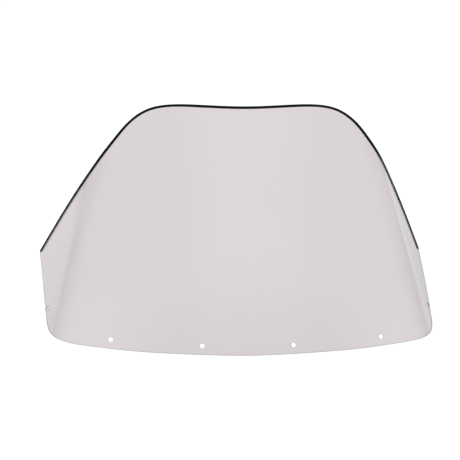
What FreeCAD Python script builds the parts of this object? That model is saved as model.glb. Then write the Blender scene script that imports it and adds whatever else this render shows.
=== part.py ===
import FreeCAD, Part
import math
import os

V = FreeCAD.Vector

# Windshield screen: one bent polycarbonate sheet, a black channel trim pushed
# over its top edge, and the glue bead that holds the trim. Millimetres.
# Finished frame: +Z up, front towards -Y, symmetric about X = 0, the screen
# raked back as it stands on a hood, origin under the middle of its box.

# ---------------------------------------------------------------- sheet
SHEET_T = 2.0            # sheet thickness
APEX_H = 892.2           # apex of the sheet's conical form above the reference station
FRONT_K = 0.731          # geodesic curvature of the gently bowed front
BEND_K = 19.63           # extra curvature at the middle of each side bend
BEND_AT = 0.27665        # angle of the side bend round the apex, radians
BEND_W = 0.01986         # spread of the side bend, radians
TIP_R = 2.5              # corner radius at the wing tip
PHI_MAX = 0.465          # half width of the conical form, radians
PHI_N = 124              # spans over the full width (even)

# Flat cut outline, right half, X outwards and Z up from the reference station.
# Top edge, from the centre line to the wing tip.
TOP_PTS = [
    (0.0, 197.6), (39.2, 198.7), (78.2, 200.9), (116.6, 201.7), (153.2, 195.5),
    (184.4, 175.7), (211.0, 147.8), (240.9, 121.9), (274.9, 99.6), (309.6, 77.2),
    (344.5, 53.8), (379.3, 29.5), (415.9, 4.0),
]
# Rear edge, rounded lower corner and lower edge, from the wing tip to the centre line.
LOW_PTS = [
    (415.9, 4.0), (396.8, -25.6), (379.3, -56.2), (362.9, -87.3), (346.9, -118.4),
    (329.3, -148.0), (301.9, -167.9), (268.0, -177.7), (231.8, -183.1), (194.6, -188.0),
    (156.6, -191.8), (118.0, -194.5), (78.9, -196.7), (39.5, -198.4), (0.0, -199.1),
]

# ---------------------------------------------------------------- mounting holes
HOLE_D = 7.94            # clearance hole for a 1/4 in or M6 shank with a well nut
HOLES = {                # flat positions on the right half
    "front_inner": (73.1, -182.9),
    "front_outer": (217.8, -170.4),
    "side": (343.3, -109.3),
}

# ---------------------------------------------------------------- edge trim
TRIM_LEG = 3.0           # how far the legs reach over the sheet from its edge
TRIM_CROWN = 1.1         # how far the crown stands beyond the sheet's edge
TRIM_FLOOR = 0.3         # channel floor beyond the sheet's edge, room for the glue
TRIM_GAP = 0.05          # clearance between each leg and the sheet face
TRIM_WALL = 0.7         # leg thickness
TRIM_CR = 0.8            # crown corner radius
TRIM_END = 2.5           # bare edge between the trim's end and the wing tip
GLUE_GAP = 0.03          # glue bead's clearance all round

# ---------------------------------------------------------------- placing
RAKE = 40.0              # degrees the front's centre line leans back from vertical
SHIFT_Y = -4.43         # reference station to the finished origin, after raking
SHIFT_Z = 158.024


# ================================================================ form of the sheet
def curvature(phi):
    return FRONT_K + BEND_K * math.exp(-0.5 * ((abs(phi) - BEND_AT) / BEND_W) ** 2)


def turn(d, t, n, k, h):
    """Moving frame d, t, n carried over the angle h at constant curvature k."""
    w = math.sqrt(1.0 + k * k)
    th = w * h
    c, s = math.cos(th), math.sin(th)
    a, b = -k / w, 1.0 / w
    q = 1.0 - c
    nd = d * (c + a * a * q) + t * (b * s) + n * (a * b * q)
    nt = d * (-b * s) + t * c + n * (a * s)
    nn = d * (a * b * q) + t * (-a * s) + n * (c + b * b * q)
    return nd, nt, nn


def make_frames():
    """Frames at PHI_N/2 + 1 stations from the centre line outwards (right side)."""
    half = PHI_N // 2
    step = PHI_MAX / half
    sub = 40
    d, t, n = V(0, 0, -1), V(1, 0, 0), V(0, -1, 0)
    out = [(d, t, n)]
    for i in range(half):
        for j in range(sub):
            phi = (i + (j + 0.5) / sub) * step
            d, t, n = turn(d, t, n, curvature(phi), step / sub)
        out.append((d, t, n))
    return step, out


STEP, FRAMES = make_frames()
O = V(0, 0, APEX_H)


def mirror(v):
    return V(-v.x, v.y, v.z)


def frame_at(phi):
    """d, t, n at any angle; the left side is the mirror of the right."""
    a = abs(phi)
    i = min(int(a / STEP), len(FRAMES) - 2)
    d, t, n = FRAMES[i]
    rest = a - i * STEP
    m = 12
    for j in range(m):
        d, t, n = turn(d, t, n, curvature(i * STEP + (j + 0.5) * rest / m), rest / m)
    if phi < 0:
        return mirror(d), mirror(t) * -1.0, mirror(n)
    return d, t, n


def polar(x, z):
    return math.atan2(x, APEX_H - z), math.hypot(x, APEX_H - z)


def spot(x, z, off=0.0):
    """Point on the bent sheet for a flat position, off along the outward normal."""
    phi, r = polar(x, z)
    d, t, n = frame_at(phi)
    return O + d * r + n * off


def spot_frame(x, z, bx, bz):
    """Mid-plane point, in-sheet direction for the flat vector (bx, bz), normal."""
    phi, r = polar(x, z)
    d, t, n = frame_at(phi)
    er = bx * math.sin(phi) - bz * math.cos(phi)
    et = bx * math.cos(phi) + bz * math.sin(phi)
    b = d * er + t * et
    b.normalize()
    return O + d * r, b, n


# ================================================================ flat outline
class Spline:
    """Natural cubic spline through 2-D points, chord length parameter."""

    def __init__(self, pts):
        self.s = [0.0]
        for a, b in zip(pts, pts[1:]):
            self.s.append(self.s[-1] + math.hypot(b[0] - a[0], b[1] - a[1]))
        self.p = pts
        self.m = [self.second(k) for k in (0, 1)]

    def second(self, k):
        s, n = self.s, len(self.p)
        y = [p[k] for p in self.p]
        a, b, c, r = [0.0] * n, [1.0] * n, [0.0] * n, [0.0] * n
        for i in range(1, n - 1):
            h0, h1 = s[i] - s[i - 1], s[i + 1] - s[i]
            a[i], b[i], c[i] = h0, 2 * (h0 + h1), h1
            r[i] = 6 * ((y[i + 1] - y[i]) / h1 - (y[i] - y[i - 1]) / h0)
        for i in range(1, n):
            w = a[i] / b[i - 1]
            b[i] -= w * c[i - 1]
            r[i] -= w * r[i - 1]
        m = [0.0] * n
        m[-1] = r[-1] / b[-1]
        for i in range(n - 2, -1, -1):
            m[i] = (r[i] - c[i] * m[i + 1]) / b[i]
        return m

    def at(self, u):
        s = self.s
        i = 0
        while i < len(s) - 2 and u > s[i + 1]:
            i += 1
        h = s[i + 1] - s[i]
        a, b = (s[i + 1] - u) / h, (u - s[i]) / h
        out, der = [], []
        for k in (0, 1):
            m = self.m[k]
            y0, y1 = self.p[i][k], self.p[i + 1][k]
            out.append(a * y0 + b * y1 + ((a ** 3 - a) * m[i] + (b ** 3 - b) * m[i + 1]) * h * h / 6)
            der.append((y1 - y0) / h + (-(3 * a * a - 1) * m[i] + (3 * b * b - 1) * m[i + 1]) * h / 6)
        q = math.hypot(*der)
        return out[0], out[1], der[0] / q, der[1] / q


left_top = [(-x, z) for x, z in reversed(TOP_PTS[1:])]
left_low = [(-x, z) for x, z in reversed(LOW_PTS[:-1])]
TOP = Spline(left_top + TOP_PTS)          # left tip, over the top, right tip
LOW = Spline(LOW_PTS + left_low)          # right tip, along the bottom, left tip


def tip_round():
    """Arc of radius TIP_R between the top edge and the rear edge at the right tip:
    centre, and the parameters where it leaves each curve."""
    lo_t, lo_b = TOP.s[-1] - 25.0, 25.0

    def offset(curve, u):
        x, z, dx, dz = curve.at(u)
        return x + dz * TIP_R, z - dx * TIP_R       # to the right of travel: inside

    u, w = TOP.s[-1] - 8.0, 8.0
    for _ in range(60):                             # two unknowns, Newton
        ax, az = offset(TOP, u)
        bx, bz = offset(LOW, w)
        f = (ax - bx, az - bz)
        e = 1e-4
        au = offset(TOP, u + e)
        bw = offset(LOW, w + e)
        j11, j21 = (au[0] - ax) / e, (au[1] - az) / e
        j12, j22 = -(bw[0] - bx) / e, -(bw[1] - bz) / e
        det = j11 * j22 - j12 * j21
        du = (f[0] * j22 - f[1] * j12) / det
        dw = (j11 * f[1] - j21 * f[0]) / det
        u, w = u - du, w - dw
        if abs(du) + abs(dw) < 1e-10:
            break
    return offset(TOP, u), u, w


TIP_C, U_TIP, W_TIP = tip_round()


def outline():
    """The flat outline as four runs of (x, z): top, right tip, lower, left tip."""
    span = TOP.s[-1]
    u0, u1 = span - U_TIP, U_TIP
    n = 150
    top = [TOP.at(u0 + (u1 - u0) * i / n)[:2] for i in range(n + 1)]
    w0, w1 = W_TIP, LOW.s[-1] - W_TIP
    n = 210
    low = [LOW.at(w0 + (w1 - w0) * i / n)[:2] for i in range(n + 1)]
    cx, cz = TIP_C
    a0 = math.atan2(top[-1][1] - cz, top[-1][0] - cx)
    a1 = math.atan2(low[0][1] - cz, low[0][0] - cx)
    n = 12
    tip = [(cx + TIP_R * math.cos(a0 + (a1 - a0) * i / n), cz + TIP_R * math.sin(a0 + (a1 - a0) * i / n))
           for i in range(n + 1)]
    tip[0], tip[-1] = top[-1], low[0]
    left = [(-x, z) for x, z in reversed(tip)]
    return top, tip, low, left


# ================================================================ sheet solid
def interpolate(points, params):
    c = Part.BSplineCurve()
    c.interpolate(Points=points, Parameters=params)
    return c


def face_surface(off):
    """B-spline surface of the sheet's form, off along the outward normal:
    u is the angle round the apex, v the distance from it."""
    phis = [-PHI_MAX + STEP * i for i in range(PHI_N + 1)]
    dirs, nors = [], []
    for i in range(PHI_N + 1):
        k = i - PHI_N // 2
        d, t, n = FRAMES[abs(k)]
        dirs.append(mirror(d) if k < 0 else d)
        nors.append(mirror(n) if k < 0 else n)
    cd, cn = interpolate(dirs, phis), interpolate(nors, phis)
    pd, pn = cd.getPoles(), cn.getPoles()
    r0, r1 = 640.0, 1125.0
    poles = [[O + a * r0 + b * off, O + a * r1 + b * off] for a, b in zip(pd, pn)]
    s = Part.BSplineSurface()
    s.buildFromPolesMultsKnots(poles, cd.getMultiplicities(), [2, 2], cd.getKnots(), [r0, r1],
                               False, False, 3, 1)
    return s


def edge_on(surface, run):
    """Edge lying on the surface along a run of flat points."""
    uv = [polar(x, z) for x, z in run]
    s = [0.0]
    for a, b in zip(run, run[1:]):
        s.append(s[-1] + math.hypot(b[0] - a[0], b[1] - a[1]))
    c = Part.Geom2d.BSplineCurve2d()
    c.interpolate(Points=[FreeCAD.Base.Vector2d(p, q) for p, q in uv], Parameters=s)
    return c.toShape(surface)


def sheet_solid():
    outer, inner = face_surface(SHEET_T / 2), face_surface(-SHEET_T / 2)
    runs = outline()
    eo = [edge_on(outer, r) for r in runs]
    ei = [edge_on(inner, r) for r in runs]
    fo = Part.Face(outer, Part.Wire(eo))
    fi = Part.Face(inner, Part.Wire(ei))
    sides = [Part.makeRuledSurface(a, b) for a, b in zip(eo, ei)]
    faces = [fo, fi]
    for s in sides:
        faces += s.Faces
    sh = Part.Compound(faces)
    sh.sewShape(0.01)
    shell = sh.Shells[0] if sh.Shells else Part.Shell(faces)
    solid = Part.Solid(shell)
    if solid.Volume < 0:
        solid.reverse()
    return solid


# ================================================================ channel sweep
def run_frames(u0, u1, n):
    out = []
    for i in range(n + 1):
        x, z, dx, dz = TOP.at(u0 + (u1 - u0) * i / n)
        out.append(spot_frame(x, z, -dz, dx))       # outward from the top edge
    return out


def sweep(profile, u0, u1, n):
    """Solid swept along the top edge. profile is a closed list of segments in the
    plane of in-sheet direction b and normal n: lines as two points, arcs as
    (start, corner pole, end, weight)."""
    fr = run_frames(u0, u1, n)
    par = [u0 + (u1 - u0) * i / n for i in range(n + 1)]
    ce = interpolate([f[0] for f in fr], par)
    cb = interpolate([f[1] for f in fr], par)
    cn = interpolate([f[2] for f in fr], par)
    pe, pb, pn = ce.getPoles(), cb.getPoles(), cn.getPoles()
    mu, kn = ce.getMultiplicities(), ce.getKnots()
    faces, ends = [], [[], []]
    for seg in profile:
        pts = [seg[0], seg[-1]] if len(seg) == 2 else [seg[0], seg[1], seg[2]]
        w = [1.0, 1.0] if len(seg) == 2 else [1.0, seg[3], 1.0]
        deg = len(pts) - 1
        poles = [[e + b * p[0] + m * p[1] for p in pts] for e, b, m in zip(pe, pb, pn)]
        s = Part.BSplineSurface()
        s.buildFromPolesMultsKnots(poles, mu, [deg + 1, deg + 1], kn, [0.0, 1.0],
                                   False, False, 3, deg, [list(w) for _ in poles])
        faces.append(s.toShape())
        for k, f in ((0, fr[0]), (1, fr[-1])):
            q = [f[0] + f[1] * p[0] + f[2] * p[1] for p in pts]
            if deg == 1:
                ends[k].append(Part.makeLine(q[0], q[1]))
            else:
                c = Part.BSplineCurve()
                c.buildFromPolesMultsKnots(q, [3, 3], [0.0, 1.0], False, 2, w)
                ends[k].append(c.toShape())
    for k in (0, 1):
        faces.append(Part.Face(Part.Wire(ends[k])))
    sh = Part.Compound(faces)
    sh.sewShape(0.005)
    solid = Part.Solid(sh.Shells[0])
    if solid.Volume < 0:
        solid.reverse()
    return solid


def trim_profile():
    hi = SHEET_T / 2 + TRIM_GAP
    ho = hi + TRIM_WALL
    r = TRIM_CR
    q = TRIM_WALL * 0.45                             # leg tip rounding
    w = math.sqrt(0.5)
    c, f, l = TRIM_CROWN, TRIM_FLOOR, -TRIM_LEG
    return [
        ((l + q, ho), (c - r, ho)),
        ((c - r, ho), (c, ho), (c, ho - r), w),
        ((c, ho - r), (c, -ho + r)),
        ((c, -ho + r), (c, -ho), (c - r, -ho), w),
        ((c - r, -ho), (l + q, -ho)),
        ((l + q, -ho), (l, -ho), (l, -ho + q), w),
        ((l, -ho + q), (l, -hi)),
        ((l, -hi), (f, -hi)),
        ((f, -hi), (f, hi)),
        ((f, hi), (l, hi)),
        ((l, hi), (l, ho - q)),
        ((l, ho - q), (l, ho), (l + q, ho), w),
    ]


def glue_profile():
    g = GLUE_GAP
    a, b, h = g, TRIM_FLOOR - g, SHEET_T / 2
    return [((a, -h), (b, -h)), ((b, -h), (b, h)), ((b, h), (a, h)), ((a, h), (a, -h))]


# ================================================================ build
def place(shape):
    s = shape.copy()
    s.rotate(V(0, 0, 0), V(1, 0, 0), -RAKE)
    s.translate(V(0, SHIFT_Y, SHIFT_Z))
    return s


def place_point(p):
    a = math.radians(-RAKE)
    return V(p.x, p.y * math.cos(a) - p.z * math.sin(a) + SHIFT_Y,
             p.y * math.sin(a) + p.z * math.cos(a) + SHIFT_Z)


os.makedirs("parts", exist_ok=True)

sheet = sheet_solid()
bores = {}
for name, (hx, hz) in HOLES.items():
    for side in (-1, 1):
        p = spot(side * hx, hz)
        n = frame_at(polar(side * hx, hz)[0])[2]
        drill = Part.makeCylinder(HOLE_D / 2, 20.0, p - n * 10.0, n)
        sheet = sheet.cut(drill)
        bores[("left_" if side < 0 else "right_") + name] = (p, n)
if sheet.ShapeType != "Solid":
    sheet = sheet.Solids[0]

span = TOP.s[-1]
g0 = span - U_TIP
u0, u1 = TRIM_END, span - TRIM_END
trim = sweep(trim_profile(), u0, u1, 160)
glue = sweep(glue_profile(), u0 + 1.5, u1 - 1.5, 160)

nodes = {"screen_sheet": sheet, "edge_trim": trim, "trim_adhesive": glue}
placed = {k: place(s) for k, s in nodes.items()}
for k, s in placed.items():
    s.exportStep("parts/" + k + ".step")

lo, hi = [1e9] * 3, [-1e9] * 3
for k, s in placed.items():
    pts = s.tessellate(0.05)[0]
    for i, a in enumerate("xyz"):
        vals = [getattr(p, a) for p in pts]
        lo[i], hi[i] = min(lo[i], min(vals)), max(hi[i], max(vals))
    print(k, s.ShapeType, "valid", s.isValid(), "closed", s.isClosed(), "volume", round(s.Volume, 1),
          "faces", len(s.Faces))
print("box", [round(v, 3) for v in lo], [round(v, 3) for v in hi])
for k, (p, n) in bores.items():
    q, m = place_point(p), place_point(p + n) - place_point(p)
    print("bore", k, [round(v, 3) for v in q], [round(v, 5) for v in m])
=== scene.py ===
import math
from types import SimpleNamespace

import bmesh
import bpy
import numpy as np
from mathutils import Matrix, Vector
from mathutils.geometry import delaunay_2d_cdt


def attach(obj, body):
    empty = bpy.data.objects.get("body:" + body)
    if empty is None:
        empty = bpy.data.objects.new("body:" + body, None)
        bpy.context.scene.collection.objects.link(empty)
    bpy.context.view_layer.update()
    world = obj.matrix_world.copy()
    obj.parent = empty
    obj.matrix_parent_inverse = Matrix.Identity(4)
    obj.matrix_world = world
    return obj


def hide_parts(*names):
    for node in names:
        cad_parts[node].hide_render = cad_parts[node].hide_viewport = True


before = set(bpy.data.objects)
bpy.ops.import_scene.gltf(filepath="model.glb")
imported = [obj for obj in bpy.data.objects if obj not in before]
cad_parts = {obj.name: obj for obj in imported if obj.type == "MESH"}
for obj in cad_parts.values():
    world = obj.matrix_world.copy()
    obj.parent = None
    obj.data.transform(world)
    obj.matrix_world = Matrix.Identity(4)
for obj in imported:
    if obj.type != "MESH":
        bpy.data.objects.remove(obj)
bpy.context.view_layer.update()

# ------------------------------------------------------------------ sizes
SHEET_T = 2.0
EDGE_R = 0.6         # rounding of the sheet's cut edge
BREAK_R = 0.25       # edge break round each hole
HOLE_R = 7.94 / 2
# right-hand hole centres (x, z); each has a mirror image on the left
RIGHT_HOLES = [(73.1, -182.9), (217.8, -170.4), (343.3, -109.3)]
HOLES = [np.array([side * x, z]) for x, z in RIGHT_HOLES for side in (1, -1)]

# The form: curvature against the angle from the middle (radians at the apex)
APEX_H = 892.2
FRONT_CURVE = 0.731  # curvature everywhere
BEND_CURVE = 19.63   # added at the crest of each side bend
BEND_AT = 0.27665    # angle of the bend
BEND_WIDTH = 0.01986
ANGLE_MAX = 0.465
FORM_STEPS = 2480

# Right half of the flat outline (x, z)
TIP = (415.9, 4.0)
TIP_R = 2.5
TIP_SEGMENTS = 10
TOP_POINTS = [
    (0.0, 197.6), (39.2, 198.7), (78.2, 200.9), (116.6, 201.7), (153.2, 195.5),
    (184.4, 175.7), (211.0, 147.8), (240.9, 121.9), (274.9, 99.6), (309.6, 77.2),
    (344.5, 53.8), (379.3, 29.5), TIP,
]
LOW_POINTS = [
    TIP, (396.8, -25.6), (379.3, -56.2), (362.9, -87.3), (346.9, -118.4),
    (329.3, -148.0), (301.9, -167.9), (268.0, -177.7), (231.8, -183.1), (194.6, -188.0),
    (156.6, -191.8), (118.0, -194.5), (78.9, -196.7), (39.5, -198.4), (0.0, -199.1),
]

# The channel, measured from the sheet's edge line
TRIM_LEG = 3.0       # reach over the sheet
TRIM_CROWN = 1.1     # outside of the crown beyond the edge
TRIM_FLOOR = 0.3     # inside of the crown beyond the edge
TRIM_GAP = 0.05      # clearance to each face
TRIM_WALL = 0.7
TRIM_CORNER_R = 0.8
TRIM_END = 2.5       # stops short of the tips
BACK_LESS = 0.6      # taken off the back leg
MIDDLE_MORE = 0.6    # given back to it along the middle
BEAD_END = TRIM_END + 1.5

# Placing of the bent sheet
RAKE = math.radians(-40.0)
SHIFT = np.array([0, -4.43, 158.024])
ROTATION = np.array([[1, 0, 0],
                     [0, math.cos(RAKE), -math.sin(RAKE)],
                     [0, math.sin(RAKE), math.cos(RAKE)]])


# ------------------------------------------------------------------ form
def make_form():
    """Angles, and at each the ray, tangent and normal of the form as rows."""
    step = ANGLE_MAX / FORM_STEPS
    frames = np.zeros((FORM_STEPS + 1, 3, 3))
    frames[0] = [[0, 0, -1], [1, 0, 0], [0, -1, 0]]
    for i in range(FORM_STEPS):
        angle = (i + 0.5) * step
        curve = FRONT_CURVE + BEND_CURVE * math.exp(
            -0.5 * ((angle - BEND_AT) / BEND_WIDTH) ** 2)
        rate = math.sqrt(1 + curve * curve)
        c, s = math.cos(rate * step), math.sin(rate * step)
        a, b, q = -curve / rate, 1 / rate, 1 - c      # turn axis (a, 0, b), as rows
        turn = np.array([[c + a * a * q, b * s, a * b * q],
                         [-b * s, c, a * s],
                         [a * b * q, -a * s, c + b * b * q]])
        frames[i + 1] = turn @ frames[i]
    return np.linspace(0, ANGLE_MAX, FORM_STEPS + 1), frames


FORM_ANGLES, FORM = make_form()


def form_axes(flat):
    """Angle, distance from the apex, and ray, tangent and normal at flat (x, z) points."""
    angle = np.arctan2(flat[:, 0], APEX_H - flat[:, 1])
    reach = np.hypot(flat[:, 0], APEX_H - flat[:, 1])
    ray, tangent, normal = [
        np.stack([np.interp(np.abs(angle), FORM_ANGLES, FORM[:, j, k]) for k in range(3)], 1)
        for j in range(3)]
    side = np.where(angle < 0, -1.0, 1.0)
    one = np.ones_like(side)
    mirror = np.stack([side, one, one], 1)
    return angle, reach, ray * mirror, tangent * mirror * side[:, None], normal * mirror


def on_form(ray, reach):
    return np.array([0, 0, APEX_H]) + ray * reach[:, None]


def bent(flat, offset):
    """Flat points laid on the form, moved along the normal by offset (front is +)."""
    _, reach, ray, _, normal = form_axes(flat)
    return on_form(ray, reach) + normal * offset


def to_world(points):
    """Bent mm to placed metres."""
    return (points @ ROTATION.T + SHIFT) / 1000.0


# ------------------------------------------------------------------ flat outline
class Spline:
    """Natural cubic spline through 2-D points, chord length parameter."""

    def __init__(self, points):
        p = self.points = np.array(points, float)
        self.knots = np.r_[0, np.cumsum(np.hypot(*np.diff(p, axis=0).T))]
        self.length = float(self.knots[-1])
        h = np.diff(self.knots)
        n = len(p)
        matrix = np.zeros((n, n))
        target = np.zeros((n, 2))
        matrix[0, 0] = matrix[-1, -1] = 1
        for i in range(1, n - 1):
            matrix[i, i - 1:i + 2] = h[i - 1], 2 * (h[i - 1] + h[i]), h[i]
            target[i] = 6 * ((p[i + 1] - p[i]) / h[i] - (p[i] - p[i - 1]) / h[i - 1])
        self.second = np.linalg.solve(matrix, target)

    def at(self, u):
        """Points and unit tangents at parameters u."""
        u = np.atleast_1d(np.asarray(u, float))
        last = len(self.knots) - 2
        i = np.clip(np.searchsorted(self.knots, u, side="right") - 1, 0, last)
        h = (self.knots[i + 1] - self.knots[i])[:, None]
        a = (self.knots[i + 1] - u)[:, None] / h
        b = 1 - a
        p0, p1 = self.points[i], self.points[i + 1]
        m0, m1 = self.second[i], self.second[i + 1]
        point = a * p0 + b * p1 + ((a ** 3 - a) * m0 + (b ** 3 - b) * m1) * h * h / 6
        slope = (p1 - p0) / h + (-(3 * a * a - 1) * m0 + (3 * b * b - 1) * m1) * h / 6
        return point, slope / np.linalg.norm(slope, axis=1)[:, None]


def left_normals(tangents):
    """Directions a quarter turn anticlockwise: outward on a clockwise outline."""
    return np.stack([-tangents[:, 1], tangents[:, 0]], 1)


def mirrored(points):
    return [(-x, z) for x, z in reversed(points)]


TOP = Spline(mirrored(TOP_POINTS[1:]) + TOP_POINTS)      # left to right
LOW = Spline(LOW_POINTS + mirrored(LOW_POINTS[:-1]))     # right to left


def tip_round():
    """Centre of the right tip's rounding and where it touches TOP and LOW."""
    def inset_point(curve, u):
        point, tangent = curve.at(u)
        return point[0] - TIP_R * left_normals(tangent)[0]

    top_u, low_u, delta = TOP.length - 8.0, 8.0, 1e-4
    for _ in range(60):        # Newton's method: the two inset curves meet
        a, b = inset_point(TOP, top_u), inset_point(LOW, low_u)
        jacobian = np.stack([(inset_point(TOP, top_u + delta) - a) / delta,
                             -(inset_point(LOW, low_u + delta) - b) / delta], 1)
        move = np.linalg.solve(jacobian, a - b)
        top_u, low_u = top_u - move[0], low_u - move[1]
        if np.abs(move).sum() < 1e-10:
            break
    return inset_point(TOP, top_u), top_u, low_u


TIP_CENTRE, TOP_TOUCH, LOW_TOUCH = tip_round()


def outline(step):
    """Closed clockwise outline: points and outward normals, about step apart."""
    def run(curve, start, end):
        count = max(2, int(round((end - start) / step)))
        points, tangents = curve.at(np.linspace(start, end, count + 1)[:-1])
        return points, left_normals(tangents)

    def angle_to(point):
        return math.atan2(point[1] - TIP_CENTRE[1], point[0] - TIP_CENTRE[0])

    top, top_out = run(TOP, TOP.length - TOP_TOUCH, TOP_TOUCH)
    low, low_out = run(LOW, LOW_TOUCH, LOW.length - LOW_TOUCH)
    angles = np.linspace(angle_to(TOP.at(TOP_TOUCH)[0][0]), angle_to(low[0]), TIP_SEGMENTS + 1)
    right_out = np.stack([np.cos(angles), np.sin(angles)], 1)
    right = TIP_CENTRE + TIP_R * right_out
    left, left_out = right[::-1] * [-1, 1], right_out[::-1] * [-1, 1]
    return (np.vstack([top, right[:-1], low, left[:-1]]),
            np.vstack([top_out, right_out[:-1], low_out, left_out[:-1]]))


def inside(points, loop):
    """Which points lie inside the closed loop."""
    x, y = points[:, 0][:, None], points[:, 1][:, None]
    ax, ay = loop[:, 0][None], loop[:, 1][None]
    bx, by = np.roll(loop[:, 0], -1)[None], np.roll(loop[:, 1], -1)[None]
    hit = ((ay > y) != (by > y)) & (x < (bx - ax) * (y - ay) / (by - ay + 1e-300) + ax)
    return hit.sum(1) % 2 == 1


def distance(points, loop):
    """Distance of each point from the closed loop."""
    side = np.roll(loop, -1, 0) - loop
    out = np.full(len(points), 1e9)
    for i in range(0, len(points), 2000):        # in batches, to spare memory
        w = points[i:i + 2000][:, None] - loop[None]
        t = np.clip((w * side[None]).sum(2) / (side * side).sum(1)[None], 0, 1)
        d = w - t[..., None] * side[None]
        out[i:i + 2000] = np.sqrt((d * d).sum(2)).min(1)
    return out


def hole_distance(points):
    """Distance of each point from the nearest hole centre."""
    return np.min([np.hypot(points[:, 0] - x, points[:, 1] - z) for x, z in HOLES], axis=0)


def unit_circle(count, phase=0.0):
    """Anticlockwise points."""
    a = np.linspace(0, 2 * math.pi, count, endpoint=False) + phase
    return np.stack([np.cos(a), np.sin(a)], 1)


# ------------------------------------------------------------------ piece helpers
def make_object(name, points, faces, slots, materials, attributes):
    """Smooth mesh object from bent mm points, with float point attributes."""
    mesh = bpy.data.meshes.new(name)
    mesh.from_pydata([tuple(map(float, p)) for p in to_world(points)], [],
                     [tuple(int(i) for i in f) for f in faces])
    for material in materials:
        mesh.materials.append(material)
    mesh.polygons.foreach_set("material_index", np.asarray(slots, np.int32))
    mesh.polygons.foreach_set("use_smooth", np.ones(len(mesh.polygons), bool))
    for key, values in attributes.items():
        attribute = mesh.attributes.new(key, "FLOAT", "POINT")
        attribute.data.foreach_set("value", np.asarray(values, np.float32))
    mesh.update()
    mesh.validate(verbose=False)
    piece = bpy.data.objects.new(name, mesh)
    bpy.context.scene.collection.objects.link(piece)
    return piece


def register(piece, cad_name):
    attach(piece, "root")
    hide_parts(cad_name)


# ------------------------------------------------------------------ the sheet
def rounded(radius, segments):
    """(inset from the edge, height on the normal) from the front face to the back."""
    a = np.linspace(0, math.pi / 2, segments + 1)
    inset = radius * (1 - np.sin(a))
    height = SHEET_T / 2 - radius * (1 - np.cos(a))
    return np.r_[inset, inset[::-1]], np.r_[height, -height[::-1]]


def fill_points(rim):
    """Points spread over the face inside rim, denser round the holes and the edge."""
    lattice = []
    for i, angle in enumerate(np.arange(-0.448, 0.4481, 0.0035)):
        reach = np.arange(640.0, 1120.0, 8.0) + (4.0 if i % 2 else 0.0)
        lattice.append(np.stack([reach * math.sin(angle),
                                 APEX_H - reach * math.cos(angle)], 1))
    points = np.vstack(lattice)
    points = points[inside(points, rim)]
    points = points[distance(points, rim) > 1.6]
    points = points[hole_distance(points) > HOLE_R + 9.0]
    for centre in HOLES:
        # clear of the hole's wall, points in the ring
        for clear, count in ((1.1, 48), (2.4, 36), (4.4, 24), (7.2, 18)):
            radius = HOLE_R + clear
            ring = centre + radius * unit_circle(count, 0.1 * radius)
            points = np.vstack([points, ring])
    # bands along the cut edge keep its triangles even: inset, step
    for inset, step in ((EDGE_R + 1.3, 2.6), (EDGE_R + 3.4, 3.6)):
        edge, outward = outline(step)
        band = edge - outward * inset
        points = np.vstack([points[distance(points, band) > 1.5], band])
    points = points[inside(points, rim)]
    return points[(distance(points, rim) > 0.6)
                  & (hole_distance(points) > HOLE_R + BREAK_R + 0.3)]


def triangulate(rings):
    """Mesh of one face between its rings, the outer ring first: flat points,
    triangles, and the point indices of each ring."""
    edges, members, start = [], [], 0
    for ring in rings:
        member = range(start, start + len(ring))
        members.append(member)
        edges += zip(member, [*member[1:], start])
        start += len(ring)
    points = np.vstack(rings + [fill_points(rings[0])])
    found, _, faces, sources, _, _ = delaunay_2d_cdt(
        [Vector((float(x), float(z))) for x, z in points], edges, [], 0, 1e-6)
    found_at = {source: i for i, group in enumerate(sources) for source in group}
    flat = np.array([(v.x, v.y) for v in found])
    triangles = np.array([f for f in faces if len(f) == 3])
    centres = flat[triangles].mean(1)
    triangles = triangles[inside(centres, rings[0])
                          & (hole_distance(centres) > HOLE_R + BREAK_R - 0.02)]
    a, b, c = (flat[triangles[:, k]] for k in range(3))
    area = ((b[:, 0] - a[:, 0]) * (c[:, 1] - a[:, 1])
            - (b[:, 1] - a[:, 1]) * (c[:, 0] - a[:, 0]))
    triangles[area < 0] = triangles[area < 0][:, ::-1]
    triangles = triangles[np.abs(area) > 1e-9]

    used = np.unique(triangles)
    renumber = np.full(len(flat), -1)
    renumber[used] = np.arange(len(used))
    ring_indices = [np.array([renumber[found_at[i]] for i in member]) for member in members]
    return flat[used], renumber[triangles], ring_indices


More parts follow.
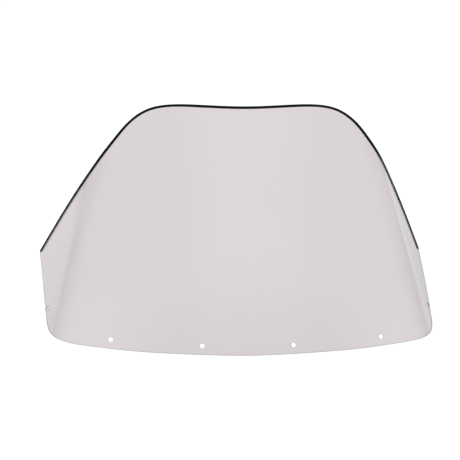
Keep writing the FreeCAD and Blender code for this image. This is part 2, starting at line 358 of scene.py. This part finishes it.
def build_sheet(materials):
    """Front and back faces, joined by rounded walls round the outline and the holes."""
    cut, cut_outward = outline(2.0)
    # wall: points, directions away from the material, insets and heights of its rings
    walls = [(cut, cut_outward, *rounded(EDGE_R, 6))]
    for centre in HOLES:
        circle = unit_circle(48)
        walls.append((centre + HOLE_R * circle, -circle, *rounded(BREAK_R, 4)))
    flat, triangles, ring_indices = triangulate(
        [points - outward * insets[0] for points, outward, insets, _ in walls])

    face_count = len(flat)
    positions = [bent(flat, SHEET_T / 2), bent(flat, -SHEET_T / 2)]
    flats = [flat, flat]
    quads = []
    count = 2 * face_count
    for (points, outward, insets, heights), front in zip(walls, ring_indices):
        n = len(points)
        rings = [front]
        for inset, height in zip(insets[1:-1], heights[1:-1]):
            ring = points - outward * inset
            positions.append(bent(ring, height))
            flats.append(ring)
            rings.append(count + np.arange(n))
            count += n
        rings.append(front + face_count)
        for near, far in zip(rings, rings[1:]):
            quads += [(near[i], near[(i + 1) % n], far[(i + 1) % n], far[i]) for i in range(n)]
    flats = np.vstack(flats)
    faces = list(np.vstack([triangles, triangles[:, ::-1] + face_count])) + quads
    slots = np.r_[np.zeros(2 * len(triangles)), np.ones(len(quads))]
    return make_object("screen_sheet_body", np.vstack(positions), faces, slots, materials, {
        "edge_mm": distance(flats, cut),
        "hole_mm": np.abs(hole_distance(flats) - HOLE_R),
        "bend_phi": np.abs(np.arctan2(flats[:, 0], APEX_H - flats[:, 1])),
        "flat_x": flats[:, 0],
        "flat_z": flats[:, 1]})


# ------------------------------------------------------------------ trim and glue
# Sections are (outward from the edge in the sheet, along the normal to the front).
def arc(centre, radius, start, end, segments):
    """Section points on an arc; angles in degrees."""
    return [(centre[0] + radius * math.cos(a), centre[1] + radius * math.sin(a))
            for a in np.radians(np.linspace(start, end, segments + 1))]


def channel_section():
    """Outer and inner lines of the U section, matched point for point."""
    inner_h = SHEET_T / 2 + TRIM_GAP
    outer_h = inner_h + TRIM_WALL
    leg, crown, floor, corner = -TRIM_LEG, TRIM_CROWN, TRIM_FLOOR, TRIM_CORNER_R
    tip = TRIM_WALL * 0.45
    mouth = 0.08         # rounding at the slot's mouth
    fillet = 0.10        # in the channel's inner corner
    # front half: from the mouth round the leg's tip to the middle of the crown
    half = arc((leg + mouth, inner_h + mouth), mouth, 270, 180, 3)
    half += arc((leg + tip, outer_h - tip), tip, 180, 90, 7)
    half += [(leg + tip + t * (crown - corner - leg - tip), outer_h)
             for t in np.linspace(0, 1, 7)[1:-1]]
    half += arc((crown - corner, outer_h - corner), corner, 90, 0, 10)
    half += [(crown, (outer_h - corner) * (1 - t)) for t in np.linspace(0, 1, 5)[1:]]

    inner_half = [(leg + mouth + (floor - fillet - leg - mouth) * t, inner_h)
                  for t in np.linspace(0, 1, 11)]
    inner_half += arc((floor - fillet, inner_h - fillet), fillet, 90, 0, 5)[1:]
    rest = len(half) - len(inner_half)
    inner_half += [(floor, (inner_h - fillet) * (1 - t))
                   for t in np.linspace(0, 1, rest + 1)[1:]]
    lines = [np.array(line + [(b, -n) for b, n in line[-2::-1]]) for line in (half, inner_half)]
    # The back leg is shorter: seen through the real sheet, which bends the view towards
    # its normal, less of it shows beyond the front leg.
    for line in lines:
        line[on_back_leg(line), 0] *= 1 - BACK_LESS / TRIM_LEG
    return lines


def on_back_leg(section):
    return (section[:, 1] < 0) & (section[:, 0] < 0)


def lengthen_back_leg(u, section):
    """Section change at u: along the middle the sheet is met nearly square and shifts
    the view less, so the back leg is nearer to its full length."""
    x = abs(float(TOP.at(u)[0][0, 0]))
    t = min(max((140.0 - x) / 70.0, 0.0), 1.0)
    t = t * t * (3 - 2 * t)
    grow = np.zeros_like(section)
    behind = on_back_leg(section)
    grow[behind, 0] = section[behind, 0] * MIDDLE_MORE / (TRIM_LEG - BACK_LESS) * t
    return grow


def bead_section():
    """Rounded rectangle between the sheet's edge and the channel's floor."""
    gap, radius = 0.03, 0.08
    inner, outer = gap + radius, TRIM_FLOOR - gap - radius
    height = SHEET_T / 2 - radius
    section = []
    for place, side, start in ((outer, 1, 90), (outer, -1, 0), (inner, -1, 270), (inner, 1, 180)):
        section += arc((place, side * height), radius, start, start - 90, 4)
    return np.array(section)


BEAD_PHASES = np.random.default_rng(7).uniform(0, 2 * math.pi, 12)


def squeeze_bead(u, section):
    """Section change at u: the bead's faces wander inside the channel."""
    def wander(frequencies, phases):
        return sum(math.sin(u * f + p) for f, p in zip(frequencies, phases)) / 4

    width = wander((0.11, 0.19, 0.43, 0.71), BEAD_PHASES)
    height = wander((0.13, 0.23, 0.37, 0.83), BEAD_PHASES[4:])
    return (section - section.mean(0)) * np.array([0.06 * width - 0.06, 0.05 * height - 0.05])


def edge_frames(stations):
    """Bent points of the top edge, directions outward in the sheet, and normals."""
    flat, tangents = TOP.at(stations)
    out = left_normals(tangents)
    angle, reach, ray, tangent, normal = form_axes(flat)
    along_ray = out[:, 0] * np.sin(angle) - out[:, 1] * np.cos(angle)
    along_tangent = out[:, 0] * np.cos(angle) + out[:, 1] * np.sin(angle)
    outward = ray * along_ray[:, None] + tangent * along_tangent[:, None]
    outward /= np.linalg.norm(outward, axis=1)[:, None]
    return on_form(ray, reach), outward, normal


def sweep(name, outer, inner, margin, steps, cap, material, change):
    """Closed solid swept along the top edge, margin short of both ends. With inner None
    the outer line is itself a closed section. The section narrows over the last cap mm,
    and change(u, section) is added at every station."""
    a, b = margin, TOP.length - margin
    stations = np.r_[a, a + cap * 0.3, a + cap, np.linspace(a + cap, b - cap, steps)[1:-1],
                     b - cap, b - cap * 0.3, b]
    if inner is None:
        base = outer
        middle = np.repeat(base.mean(0)[None], len(base), 0)
    else:
        base = np.vstack([outer, inner[::-1]])
        half = (outer + inner) / 2
        middle = np.vstack([half, half[::-1]])
    m, last = len(base), len(stations) - 1
    narrowing = {0: 0.35, 1: 0.10, last - 1: 0.10, last: 0.35}
    points = []
    for i, (origin, outward, normal) in enumerate(zip(*edge_frames(stations))):
        section = base + (middle - base) * narrowing.get(i, 0.0)
        section = section + change(stations[i], section)
        points.append(origin + outward * section[:, :1] + normal * section[:, 1:])

    faces = [(i * m + j, (i + 1) * m + j, (i + 1) * m + (j + 1) % m, i * m + (j + 1) % m)
             for i in range(last) for j in range(m)]
    for start, order in ((0, 1), (last * m, -1)):
        if inner is None:
            faces.append(tuple(range(start, start + m))[::order])
        else:
            faces += [(start + j, start + j + 1, start + m - 2 - j, start + m - 1 - j)[::order]
                      for j in range(len(outer) - 1)]
    piece = make_object(name, np.vstack(points), faces, np.zeros(len(faces)), [material],
                        {"along_mm": np.repeat(stations, m)})
    # join points that coincide, and make every face point outwards
    bm = bmesh.new()
    bm.from_mesh(piece.data)
    bmesh.ops.remove_doubles(bm, verts=bm.verts[:], dist=1e-7)
    bmesh.ops.recalc_face_normals(bm, faces=bm.faces)
    if bm.calc_volume(signed=True) < 0:
        bmesh.ops.reverse_faces(bm, faces=bm.faces)
    bm.to_mesh(piece.data)
    bm.free()
    for polygon in piece.data.polygons:
        polygon.use_smooth = True
    return piece


# ------------------------------------------------------------------ shader helpers
FALL = (1.0, 0.0)    # a ramp that runs down from one to nothing


class Net:
    """Short hand for building the shader tree of a material or world."""

    def __init__(self, owner):
        owner.use_nodes = True
        self.tree = owner.node_tree
        self.tree.nodes.clear()

    def node(self, kind, inputs=None, **properties):
        node = self.tree.nodes.new("ShaderNode" + kind)
        for key, value in properties.items():
            setattr(node, key, value)
        for key, value in (inputs or {}).items():
            if isinstance(value, bpy.types.NodeSocket):
                self.tree.links.new(value, node.inputs[key])
            else:
                node.inputs[key].default_value = value
        return node

    def shader(self, kind, **inputs):
        return self.node(kind, inputs).outputs[0]

    def math(self, operation, *values):
        return self.node("Math", dict(enumerate(values)), operation=operation).outputs[0]

    def fold(self, operation, first, *others):
        for other in others:
            first = self.math(operation, first, other)
        return first

    def add(self, *values):
        return self.fold("ADD", *values)

    def mul(self, *values):
        return self.fold("MULTIPLY", *values)

    def sub(self, a, b):
        return self.math("SUBTRACT", a, b)

    def attribute(self, name):
        return self.node("Attribute", attribute_name=name).outputs["Fac"]

    def object_place(self):
        return self.node("TexCoord").outputs["Object"]

    def camera_ray(self):
        return self.node("LightPath").outputs["Is Camera Ray"]

    def ramp(self, value, over, to=(0.0, 1.0), kind="SMOOTHSTEP"):
        """Value carried from the range over to the range to, clamped."""
        inputs = {"Value": value, "From Min": over[0], "From Max": over[1],
                  "To Min": to[0], "To Max": to[1]}
        return self.node("MapRange", inputs, interpolation_type=kind, clamp=True).outputs["Result"]

    def noise(self, vector, scale, detail, roughness):
        return self.node("TexNoise", {
            "Vector": vector, "Scale": scale, "Detail": detail, "Roughness": roughness,
            "Distortion": 0.0}).outputs["Fac"]

    def mix(self, amount, a, b):
        return self.node("MixShader", {0: amount, 1: a, 2: b}).outputs[0]

    def rgb(self, *channels):
        return self.node("CombineColor", dict(enumerate(channels))).outputs[0]

    def blend(self, value, dark, light):
        """Colour between dark and light."""
        node = self.node("ValToRGB", {0: value})
        for element, colour in zip(node.color_ramp.elements, (dark, light)):
            element.color = (*colour, 1)
        return node.outputs[0]

    def bump(self, height, strength, distance):
        return self.shader("Bump", Height=height, Strength=strength, Distance=distance)

    def finish(self, shader, kind="OutputMaterial"):
        self.node(kind, {"Surface": shader})


def new_material(name):
    material = bpy.data.materials.new(name)
    return material, Net(material)


# ------------------------------------------------------------------ clear sheet
IOR = 1.585
# colour let through by the whole thickness, without surface loss
TINT = (0.651, 0.608, 0.623)
CUT_TINT = (0.60, 0.605, 0.625)
RIM_PAINTED_SHADE = 0.14              # painted shade beside the cut edge, as extra depth of tone
RING_PAINTED_SHADE = 0.07             # painted shade round the holes, as extra depth of tone
MIRROR_LIMIT = (0.065, 0.18)  # most that is mirrored, from grazing to steeper views
# change of each colour channel: at grazing views, beside the cut edge as part of its painted
# shade, and on the right wing as a painted cast of the light on that side
CHANNEL_SHIFTS = ((-0.013, -0.016, -0.010), (0.003, 0.0, 0.001), (0.014, 0.008, 0.009))


def sheet_places(net):
    """Where a point lies on the sheet: measures in mm or radians, and masks."""
    at = SimpleNamespace(edge=net.attribute("edge_mm"), hole=net.attribute("hole_mm"),
                         bend=net.attribute("bend_phi"), x=net.attribute("flat_x"),
                         z=net.attribute("flat_z"))
    at.aside = net.math("ABSOLUTE", net.sub(at.x, 8.0))
    at.rim = net.ramp(at.edge, over=(0.2, 2.9), to=FALL)
    at.wing = net.ramp(at.bend, over=(0.280, 0.300))
    at.left = net.math("LESS_THAN", at.x, 0.0)
    at.far_out = net.ramp(at.aside, over=(250.0, 300.0))
    # on the rear edges of the wings the painted edge shade is lighter, the left one most
    at.clean = net.mul(net.add(0.4, net.mul(at.left, 0.6)), at.far_out,
                       net.ramp(at.z, over=(-140.0, -115.0)),
                       net.ramp(at.hole, over=(1.0, 2.5)))
    return at


def on_right(net, at):
    return net.math("GREATER_THAN", at.x, 0.0)


def face_cloud_and_painted_shading(net, at, texture):
    """Slight changes in depth of tone: a cloud, then patches of painted light and shade as amount
    times masks.
    """
    mul, ramp = net.mul, net.ramp
    panel = ramp(at.bend, over=(0.262, 0.284), to=FALL)      # between the bends
    crest = ramp(at.z, over=(-30.0, 60.0))
    cloud = net.noise(texture, scale=4.5, detail=2.0, roughness=0.5)
    return net.add(
        mul(net.sub(cloud, 0.5), 0.05),
        # painted shade on both sides of the panel, stronger upwards
        mul(0.075, ramp(at.aside, over=(45.0, 125.0)), ramp(at.z, over=(-150.0, 40.0)), panel),
        # painted light in the middle, below the top
        mul(-0.03, ramp(at.aside, over=(45.0, 125.0), to=FALL), ramp(at.z, over=(60.0, -40.0))),
        # painted shade at the foot of the middle
        mul(0.08, ramp(at.aside, over=(110.0, 215.0), to=FALL),
            ramp(at.z, over=(-60.0, -200.0))),
        # painted light at the lower corners of the panel
        mul(-0.045, ramp(at.aside, over=(175.0, 245.0)), ramp(at.z, over=(-40.0, -140.0)), panel),
        # painted light on the right side of the panel
        mul(-0.022, ramp(at.x, over=(60.0, 200.0)), panel),
        # painted shade on both wings, stronger downwards
        mul(ramp(at.z, over=(-40.0, -130.0), to=(0.02, 0.06)), at.wing),
        # painted light on the upper part beyond the left bend
        mul(-0.12, crest, ramp(at.bend, over=(0.286, 0.306)),
            ramp(at.bend, over=(0.308, 0.335), to=(1.0, 0.3)), at.left),
        # painted light on the upper part beyond the right bend
        mul(-0.09, crest, ramp(at.bend, over=(0.266, 0.286)), on_right(net, at)),
        # painted shade on the left wing above its foot
        mul(0.035, at.wing, ramp(at.z, over=(-110.0, -50.0)), at.left),
        # painted light in a band across the lower left wing
        mul(-0.045, at.wing, ramp(at.z, over=(-135.0, -105.0)),
            ramp(at.z, over=(-60.0, -15.0), to=FALL), at.left))


def tone(net, at, texture):
    """All extra depth of tone, as a share of the sheet's own: painted shade beside the cut edge
    and round the holes, and the face's cloud with its painted light and shade.
    """
    # painted shade: the cut edge's rim is darker still along the foot and at the right wing's
    # lower rear corner
    foot_rim_shade = net.mul(0.14, net.ramp(at.aside, over=(190.0, 250.0), to=FALL),
                       net.ramp(at.z, over=(-120.0, -170.0)))
    corner_rim_shade = net.mul(0.20, at.far_out, net.ramp(at.z, over=(-120.0, -145.0)),
                         on_right(net, at))
    rim_painted_shade = net.sub(net.add(RIM_PAINTED_SHADE, foot_rim_shade, corner_rim_shade), net.mul(at.clean, 0.10))
    # painted shade: a thin dark ring round each hole
    ring = net.ramp(at.hole, over=(0.1, 1.2), to=FALL)
    return net.add(net.mul(at.rim, rim_painted_shade), net.mul(ring, RING_PAINTED_SHADE),
                   face_cloud_and_painted_shading(net, at, texture))


def view_cosine(net):
    geometry = net.node("NewGeometry").outputs
    dot = net.node("VectorMath", {0: geometry["Normal"], 1: geometry["Incoming"]},
                   operation="DOT_PRODUCT")
    return net.math("MAXIMUM", net.math("ABSOLUTE", dot.outputs["Value"]), 0.02)


def mirror_share(net, cosine):
    """Schlick's mirror share, limited."""
    square_on = ((IOR - 1) / (IOR + 1)) ** 2
    grazing = net.math("POWER", net.sub(1.0, cosine), 5.0)
    share = net.add(square_on, net.mul(1 - square_on, grazing))
    return net.math("MINIMUM", share, net.ramp(cosine, over=(0.06, 0.40), to=MIRROR_LIMIT))


def path_share(net, cosine):
    """Half of the path through the sheet, in thicknesses, for each surface crossed."""
    sine_squared = net.sub(1.0, net.mul(cosine, cosine))
    refracted = net.math("DIVIDE", sine_squared, IOR * IOR)
    return net.math("DIVIDE", 0.5, net.math("SQRT", net.sub(1.0, refracted)))


def sheet_gloss(net, texture):
    """Mirroring with faint long waves and a very fine orange peel."""
    wave = net.noise(texture, scale=9.0, detail=1.0, roughness=0.4)
    peel = net.noise(texture, scale=900.0, detail=2.0, roughness=0.5)
    height = net.add(net.mul(wave, 1.0), net.mul(peel, 0.004))
    patchy = net.noise(texture, scale=30.0, detail=4.0, roughness=0.6)
    return net.shader(
        "BsdfGlossy", Color=(1, 1, 1, 1),
        Roughness=net.ramp(patchy, over=(0.2, 0.8), to=(0.02, 0.06), kind="LINEAR"),
        Normal=net.bump(height, strength=0.12, distance=0.002))


def clear_sheet(name, cut_face):
    """Clear smoked polycarbonate. Light passes straight through, tinted by its path in
    the sheet, and mirrors by Fresnel's law. cut_face is the edge and the hole walls."""
    material, net = new_material(name)
    cosine = view_cosine(net)
    texture = net.object_place()
    at = sheet_places(net)
    # the depth of tint also carries the painted light and shade of tone()
    share = net.mul(path_share(net, cosine), net.add(1.0, tone(net, at, texture)))
    if cut_face:
        # painted shade: cut faces are half as dark again as their path, less on the lighter rear
        # rims, and hole walls darker still, least at the far right
        hole_wall_shade = net.mul(net.ramp(at.hole, over=(0.3, 1.5), to=FALL),
                       net.ramp(at.x, over=(250.0, 300.0), to=(1.1, 0.1)))
        share = net.mul(share, net.add(net.sub(1.5, net.mul(at.clean, 0.6)), hole_wall_shade))
    skim = net.ramp(cosine, over=(0.10, 0.30), to=FALL)
    # painted light: the right wing alone takes a cast of the light on that side
    right_wing_cast = net.mul(at.wing, on_right(net, at))
    channels = []
    for tint, (at_skim, at_rim, at_wing) in zip(CUT_TINT if cut_face else TINT, CHANNEL_SHIFTS):
        shift = net.add(1.0, net.mul(skim, at_skim), net.mul(at.rim, at_rim),
                        net.mul(right_wing_cast, at_wing))
        channels.append(net.mul(net.math("POWER", tint, share), shift))
    through = net.shader("BsdfTransparent", Color=net.rgb(*channels))
    body = net.mix(mirror_share(net, cosine), through, sheet_gloss(net, texture))

    # trace of surface haze: a base amount and fine dust
    specks = net.noise(texture, scale=260.0, detail=5.0, roughness=0.7)
    dust = net.ramp(specks, over=(0.62, 0.85))
    if cut_face:
        haze, base, dusty = (0.30, 0.295, 0.305, 1), 0.16, 0.05
    else:
        haze, base, dusty = (0.62, 0.60, 0.61, 1), 0.006, 0.012
    net.finish(net.mix(net.add(base, net.mul(dust, dusty)), body,
                       net.shader("BsdfDiffuse", Color=haze)))
    return material


# ------------------------------------------------------------------ trim and glue looks
def black_trim():
    """Satin black vinyl: fine bands along its length and a soft grain."""
    material, net = new_material("vinyl_trim_black")
    texture = net.object_place()
    grain = net.noise(texture, scale=1600.0, detail=4.0, roughness=0.6)
    blotch = net.noise(texture, scale=22.0, detail=3.0, roughness=0.6)
    bands = net.node("TexNoise", {"W": net.mul(net.attribute("along_mm"), 0.35),
                                  "Scale": 1.0, "Detail": 4.0},
                     noise_dimensions="1D").outputs["Fac"]
    roughness = net.add(net.ramp(blotch, over=(0.3, 0.7), to=(0.42, 0.54), kind="LINEAR"),
                        net.mul(net.sub(grain, 0.5), 0.12))
    colour = net.blend(net.add(net.mul(blotch, 0.6), net.mul(bands, 0.4)),
                       dark=(0.0015, 0.0015, 0.0016), light=(0.0045, 0.0045, 0.0050))
    normal = net.bump(net.add(net.mul(grain, 0.7), net.mul(bands, 0.5)),
                      strength=0.35, distance=0.0002)
    body = net.shader("BsdfDiffuse", Color=colour, Normal=normal)
    sheen = net.shader("BsdfGlossy", Color=(0.95, 0.97, 1.0, 1), Roughness=roughness,
                       Normal=normal)
    facing = net.node("LayerWeight", {"Blend": 0.5}).outputs["Facing"]
    net.finish(net.mix(net.ramp(facing, over=(0.2, 1.0), to=(0.006, 0.035)), body, sheen))
    return material


def glue():
    """Dark brown adhesive with an uneven surface."""
    material, net = new_material("contact_adhesive")
    lumps = net.noise(net.object_place(), scale=500.0, detail=4.0, roughness=0.6)
    net.finish(net.node("BsdfPrincipled", {
        "Base Color": net.blend(lumps, dark=(0.018, 0.015, 0.012), light=(0.06, 0.05, 0.04)),
        "Roughness": net.ramp(lumps, over=(0.3, 0.7), to=(0.25, 0.5), kind="LINEAR"),
        "Normal": net.bump(lumps, strength=0.5, distance=0.0003)}).outputs[0])
    return material


# ------------------------------------------------------------------ stage (metres)
def build_floor():
    """Pale floor that also glows. Past the table's extent it is darker to all but the
    camera, so what the screen mirrors darkens there."""
    half, height = 30.0, -0.0004
    mesh = bpy.data.meshes.new("studio_floor")
    corners = ((-half, -half), (half, -half), (half, half), (-half, half))
    mesh.from_pydata([(x, y, height) for x, y in corners], [], [(0, 1, 2, 3)])
    floor = bpy.data.objects.new("studio_floor", mesh)
    bpy.context.scene.collection.objects.link(floor)

    material, net = new_material("pale_floor")
    place = net.node("SeparateXYZ", {0: net.node("NewGeometry").outputs["Position"]}).outputs
    beyond = net.math("MAXIMUM", net.ramp(net.math("ABSOLUTE", place[0]), over=(0.58, 0.78)),
                      net.ramp(place[1], over=(0.95, 1.25)))
    level = net.math("MAXIMUM", net.sub(1.0, net.mul(beyond, 0.48)), net.camera_ray())
    reflected = net.mul(level, 0.12)
    diffuse = net.shader("BsdfDiffuse", Color=net.rgb(reflected, reflected, reflected))
    glow = net.shader("Emission", Color=(1, 1, 1, 1), Strength=net.mul(level, 0.965))
    net.finish(net.node("AddShader", {0: diffuse, 1: glow}).outputs[0])
    mesh.materials.append(material)


def build_world():
    """A dim room and a bright soft ceiling; the camera sees plain pale grey."""
    world = bpy.data.worlds.new("studio")
    bpy.context.scene.world = world
    net = Net(world)
    way = net.node("SeparateXYZ", {0: net.node("TexCoord").outputs["Generated"]}).outputs
    room = net.ramp(way[0], over=(-0.6, 0.6), to=(0.70, 0.59))       # left to right
    ceiling = net.ramp(way[2], over=(0.10, 0.62))
    level = net.add(room, net.mul(net.sub(1.0, room), ceiling))
    lit = net.shader("Background", Color=net.rgb(level, level, net.mul(level, 1.005)),
                     Strength=1.0)
    plain = net.shader("Background", Color=(0.93, 0.93, 0.93, 1), Strength=1.0)
    net.finish(net.mix(net.camera_ray(), lit, plain), kind="OutputWorld")


def build_light():
    light = bpy.data.lights.new("overhead", "AREA")
    light.shape = "RECTANGLE"
    light.size = 3.6
    light.size_y = 3.0
    light.energy = 34.0
    lamp = bpy.data.objects.new("overhead", light)
    bpy.context.scene.collection.objects.link(lamp)
    place, aim = Vector((0.2, 0.3, 3.2)), Vector((0, 0, 0.1))
    lamp.location = place
    lamp.rotation_euler = (aim - place).to_track_quat("-Z", "Y").to_euler()


def build_camera():
    """Long lens before the screen, set out in the unraked frame (mm)."""
    turn, lift, roll = math.radians(-8.0), math.radians(-4.654), math.radians(-0.987)
    reach, sideways = 4709.739, -24.93915
    back = np.array([math.sin(turn) * math.cos(lift), -math.cos(turn) * math.cos(lift),
                     math.sin(lift)])
    level = np.array([math.cos(turn), math.sin(turn), 0.0])
    upright = np.cross(level, -back)
    upright /= np.linalg.norm(upright)
    right = math.cos(roll) * level + math.sin(roll) * upright
    up = -math.sin(roll) * level + math.cos(roll) * upright
    eye = to_world((back * reach + right * sideways)[None])[0]

    data = bpy.data.cameras.new("camera")
    data.sensor_width = 36.0
    data.lens = 231.81652
    data.shift_x = -0.001086957
    data.shift_y = 0.001086957
    data.clip_start = 0.1
    data.clip_end = 100.0
    camera = bpy.data.objects.new("camera", data)
    bpy.context.scene.collection.objects.link(camera)
    columns = [ROTATION @ axis for axis in (right, up, back)] + [eye]
    camera.matrix_world = Matrix([[column[i] for column in columns] for i in range(3)]
                                 + [[0, 0, 0, 1]])
    bpy.context.scene.camera = camera


# ------------------------------------------------------------------ build
sheet = build_sheet([clear_sheet("polycarbonate_smoke", cut_face=False),
                     clear_sheet("polycarbonate_cut_edge", cut_face=True)])
register(sheet, "screen_sheet")

trim = sweep("edge_trim_channel", *channel_section(), margin=TRIM_END, steps=620, cap=0.25,
             material=black_trim(), change=lengthen_back_leg)
register(trim, "edge_trim")

bead = sweep("trim_glue_bead", bead_section(), None, margin=BEAD_END, steps=520, cap=0.15,
             material=glue(), change=squeeze_bead)
register(bead, "trim_adhesive")

build_floor()
build_world()
build_light()
build_camera()
view = bpy.context.scene.view_settings
view.view_transform = "Standard"
view.look = "None"
